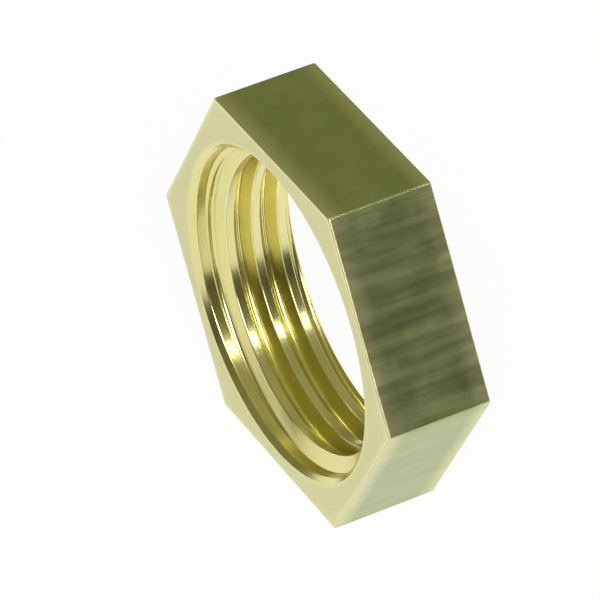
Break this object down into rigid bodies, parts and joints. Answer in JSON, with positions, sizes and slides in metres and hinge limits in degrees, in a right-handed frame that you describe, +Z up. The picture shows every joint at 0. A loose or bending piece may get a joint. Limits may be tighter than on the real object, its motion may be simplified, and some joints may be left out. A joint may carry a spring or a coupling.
{
  "type": "female threaded nut",
  "caption": "Thin hexagon nut in bare brass with a right-hand parallel pipe thread right through it and a countersink at each end, for locking a pipe fitting or tap tail.",
  "frame": {"origin": "middle of the flat that the nut stands on", "axes": "+Z up through the hexagon's opposite flat; -Y along the thread's axis, out of the front face; +X through a corner of the hexagon"},
  "size_m": [0.0276, 0.007, 0.024],
  "materials": {
    "brass": "bare metal, drawn flats with fine grain along the bar, turned faces, bright cut thread"
  },
  "bodies": {
    "root": {"nut": "brass"}
  },
  "joints": []
}
